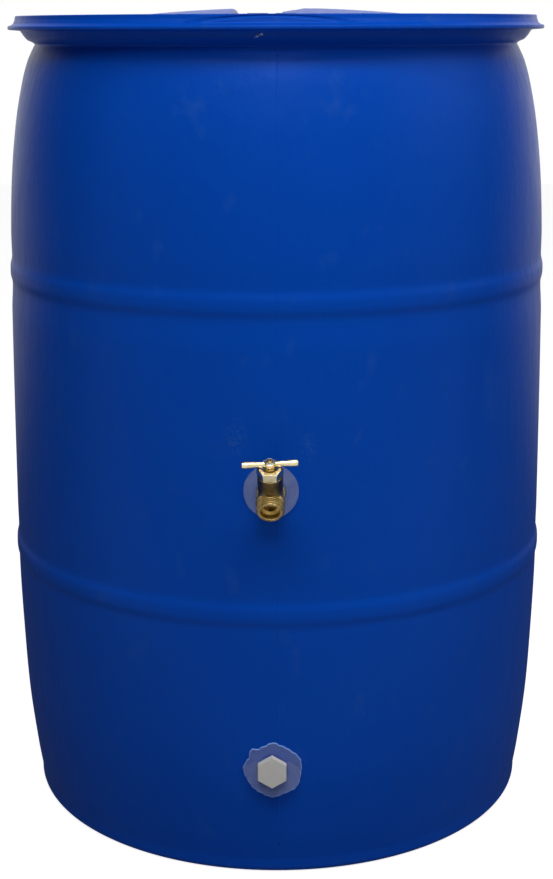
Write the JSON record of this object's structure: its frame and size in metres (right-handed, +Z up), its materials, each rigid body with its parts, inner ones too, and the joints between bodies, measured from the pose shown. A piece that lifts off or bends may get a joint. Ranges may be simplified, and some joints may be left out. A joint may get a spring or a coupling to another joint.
{
  "type": "rain barrel",
  "caption": "Closed-head blue plastic drum made into a rain barrel, with a brass hose tap, a drain plug, a rear hose connector and screw-in bungs.",
  "frame": {"origin": "on the floor, under the middle of the barrel", "axes": "+Z up along the drum's axis, -Y towards the tap, +X to the right as seen from the tap"},
  "size_m": [0.597, 0.6958, 0.8737],
  "materials": {
    "blue_hdpe": "blow-moulded high-density polyethylene, satin with a fine orange peel",
    "bung_hdpe": "injection-moulded polyethylene, satin",
    "brass": "machined and cast brass, bright with dull valleys",
    "steel": "plated steel",
    "clear_vinyl": "translucent soft vinyl, cut by hand",
    "black_rubber": "moulded rubber, matt",
    "white_nylon": "injection-moulded nylon, waxy",
    "black_plastic": "injection-moulded polypropylene, satin"
  },
  "bodies": {
    "drum": {"drum_shell": "blue_hdpe", "tap_body": "brass", "tap_outer_washer": "clear_vinyl", "tap_inner_washer": "black_rubber", "tap_lock_nut": "brass", "packing_nut": "brass", "packing_ring": "black_rubber", "drain_inner_washer": "black_rubber", "drain_lock_nut": "white_nylon", "hose_connector": "black_plastic", "hose_outer_washer": "black_rubber", "hose_inner_washer": "black_rubber", "hose_lock_nut": "black_plastic"},
    "tap_disc": {"seat_washer": "black_rubber"},
    "tap_spindle": {"tap_stem": "brass", "seat_screw": "steel", "tee_handle": "brass", "handle_washer": "steel"},
    "front_seal": {"front_bung_gasket": "black_rubber"},
    "front_bung": {"front_bung_plug": "bung_hdpe"},
    "rear_seal": {"rear_bung_gasket": "black_rubber"},
    "rear_bung": {"rear_bung_plug": "bung_hdpe"},
    "drain_seal": {"drain_outer_washer": "clear_vinyl"},
    "drain": {"drain_plug": "white_nylon"}
  },
  "joints": [
    {"name": "tap_lift", "type": "slide", "parent": "drum", "child": "tap_disc", "axis": [0, -0.5, 0.866], "range_m": [0, 0.0042]},
    {"name": "tap_turn", "type": "hinge", "parent": "tap_disc", "child": "tap_spindle", "pos_m": [0, -0.3174, 0.4075], "axis": [0, -0.5, 0.866], "range_deg": [0, 720]},
    {"name": "front_bung_lift", "type": "slide", "parent": "drum", "child": "front_seal", "axis": [0, 0, 1], "range_m": [0, 0.01326]},
    {"name": "front_bung_turn", "type": "hinge", "parent": "front_seal", "child": "front_bung", "pos_m": [0, -0.196, 0.852], "axis": [0, 0, 1], "range_deg": [0, 2160]},
    {"name": "rear_bung_lift", "type": "slide", "parent": "drum", "child": "rear_seal", "axis": [0, 0, 1], "range_m": [0, 0.01326]},
    {"name": "rear_bung_turn", "type": "hinge", "parent": "rear_seal", "child": "rear_bung", "pos_m": [0, 0.196, 0.852], "axis": [0, 0, 1], "range_deg": [0, 2160]},
    {"name": "drain_slide", "type": "slide", "parent": "drum", "child": "drain_seal", "axis": [0, -1, 0], "range_m": [0, 0.01089]},
    {"name": "drain_turn", "type": "hinge", "parent": "drain_seal", "child": "drain", "pos_m": [0, -0.2892, 0.1185], "axis": [0, -1, 0], "range_deg": [0, 2160]}
  ],
  "couplings": [
    {"joint": "tap_lift", "follows": "tap_turn", "m_per_rad": 0.00033422},
    {"joint": "front_bung_lift", "follows": "front_bung_turn", "m_per_rad": 0.00035157},
    {"joint": "rear_bung_lift", "follows": "rear_bung_turn", "m_per_rad": 0.00035157},
    {"joint": "drain_slide", "follows": "drain_turn", "m_per_rad": 0.00028871}
  ]
}
